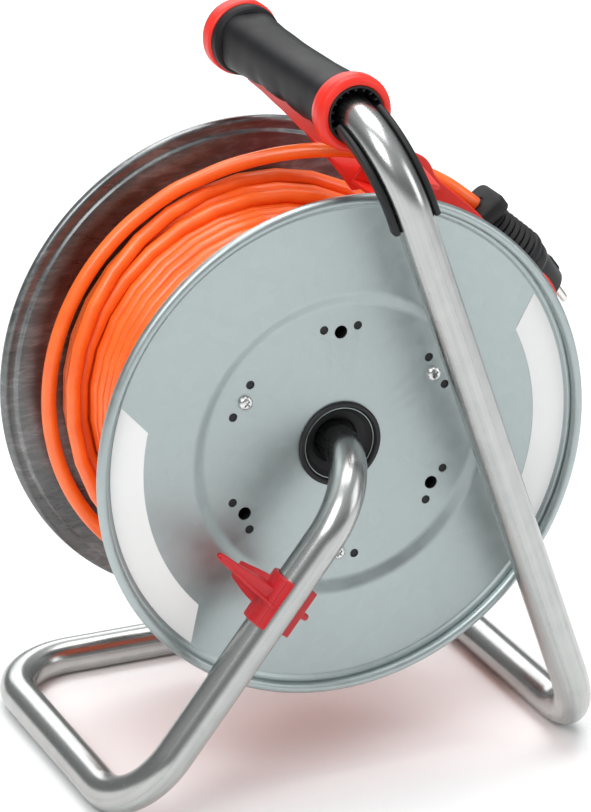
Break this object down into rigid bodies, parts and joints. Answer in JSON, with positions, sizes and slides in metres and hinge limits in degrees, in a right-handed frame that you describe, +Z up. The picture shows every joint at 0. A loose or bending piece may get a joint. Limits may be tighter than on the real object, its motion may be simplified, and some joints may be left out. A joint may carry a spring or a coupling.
{
  "type": "extension cord reel",
  "caption": "Steel drum cord reel on a one-sided bent-tube stand, with a grip, brake, cable guide, parked plug, crank knob and covered outlets.",
  "frame": {"origin": "on the floor under the middle of the stand's box", "axes": "+Z up; +Y from the rear flange, where the leg enters the hub, to the outlets, along the drum axis and the grip; +X to the right of a person facing the rear flange, towards the parked plug"},
  "size_m": [0.3144, 0.2365, 0.406],
  "materials": {
    "zinc_tube": "bright zinc plating with long drawn streaks, satin to glossy",
    "galvanised_sheet": "galvanised sheet, satin, faint spangle",
    "plated_steel": "zinc plated, satin",
    "black_plastic": "moulded, fine grain, satin",
    "grip_plastic": "moulded grip, fine grain, satin",
    "bush_plastic": "natural acetal, satin",
    "red_plastic": "moulded, satin to glossy",
    "brake_plastic": "moulded, satin to glossy",
    "contact_brass": "drawn, bright",
    "terminal_plastic": "moulded, satin",
    "black_rubber": "moulded rubber, matt",
    "orange_jacket": "extruded cable jacket, satin",
    "pin_metal": "nickel plated, bright",
    "label_film": "printed film left blank, matt"
  },
  "bodies": {
    "stand": {"frame_tube": "zinc_tube", "axle_plug": "black_plastic", "axle_washer": "plated_steel", "axle_screw": "plated_steel", "handle_sleeve": "black_plastic", "handle_grip": "grip_plastic", "grip_ring_near": "red_plastic", "grip_ring_far": "red_plastic", "grip_end_cap": "black_plastic", "neck_saddle": "black_plastic", "cable_guide": "red_plastic", "plug_cradle": "red_plastic", "cable_lead": "orange_jacket", "plug_sleeve": "black_rubber", "plug_body": "black_rubber", "plug_pins": "pin_metal", "plug_earth_clips": "pin_metal"},
    "drum": {"rear_flange": "galvanised_sheet", "front_flange": "galvanised_sheet", "drum_core": "black_plastic", "rear_hub_bush": "black_plastic", "inner_hub_bush": "bush_plastic", "clamp_screws": "plated_steel", "clamp_nuts": "plated_steel", "socket_plate": "black_plastic", "plate_screws": "plated_steel", "socket_insert_1": "black_plastic", "socket_insert_2": "black_plastic", "socket_insert_3": "black_plastic", "socket_insert_4": "black_plastic", "socket_contacts": "contact_brass", "lid_pins": "plated_steel", "lid_springs": "plated_steel", "thermal_cutout": "black_plastic", "terminal_block": "terminal_plastic", "cord_grommet": "black_rubber", "inner_lead": "orange_jacket", "crank_pin": "plated_steel", "label_left": "label_film", "label_right": "label_film", "cable_winding": "orange_jacket"},
    "lid_1": {"socket_lid_1": "black_plastic"},
    "lid_2": {"socket_lid_2": "black_plastic"},
    "lid_3": {"socket_lid_3": "black_plastic"},
    "lid_4": {"socket_lid_4": "black_plastic"},
    "button": {"thermal_button": "brake_plastic"},
    "knob": {"crank_knob": "black_plastic"},
    "brake": {"brake_lever": "brake_plastic"}
  },
  "joints": [
    {"name": "drum_spin", "type": "hinge", "parent": "stand", "child": "drum", "pos_m": [-0.002, -0.0735, 0.1965], "axis": [0, 1, 0], "continuous": true},
    {"name": "lid_1_hinge", "type": "hinge", "parent": "drum", "child": "lid_1", "pos_m": [0.04538, 0.0865, 0.24388], "axis": [0.7071, 0, -0.7071], "range_deg": [0, 100], "stiffness_Nm_per_rad": 0.02, "springref_deg": -20.05},
    {"name": "lid_2_hinge", "type": "hinge", "parent": "drum", "child": "lid_2", "pos_m": [-0.04938, 0.0865, 0.24388], "axis": [0.7071, 0, 0.7071], "range_deg": [0, 100], "stiffness_Nm_per_rad": 0.02, "springref_deg": -20.05},
    {"name": "lid_3_hinge", "type": "hinge", "parent": "drum", "child": "lid_3", "pos_m": [-0.04938, 0.0865, 0.14912], "axis": [-0.7071, 0, 0.7071], "range_deg": [0, 100], "stiffness_Nm_per_rad": 0.02, "springref_deg": -20.05},
    {"name": "lid_4_hinge", "type": "hinge", "parent": "drum", "child": "lid_4", "pos_m": [0.04538, 0.0865, 0.14912], "axis": [-0.7071, 0, -0.7071], "range_deg": [0, 100], "stiffness_Nm_per_rad": 0.02, "springref_deg": -20.05},
    {"name": "button_press", "type": "slide", "parent": "drum", "child": "button", "axis": [0, -1, 0], "range_m": [0, 0.002], "stiffness_N_per_m": 600, "springref_m": -0.0004},
    {"name": "knob_spin", "type": "hinge", "parent": "drum", "child": "knob", "pos_m": [-0.04031, 0.0865, 0.09125], "axis": [0, 1, 0], "continuous": true},
    {"name": "brake_turn", "type": "hinge", "parent": "stand", "child": "brake", "pos_m": [-0.0544, -0.10446, 0.12587], "axis": [-0.5955, 0.0345, -0.8026], "range_deg": [-30, 0]}
  ]
}
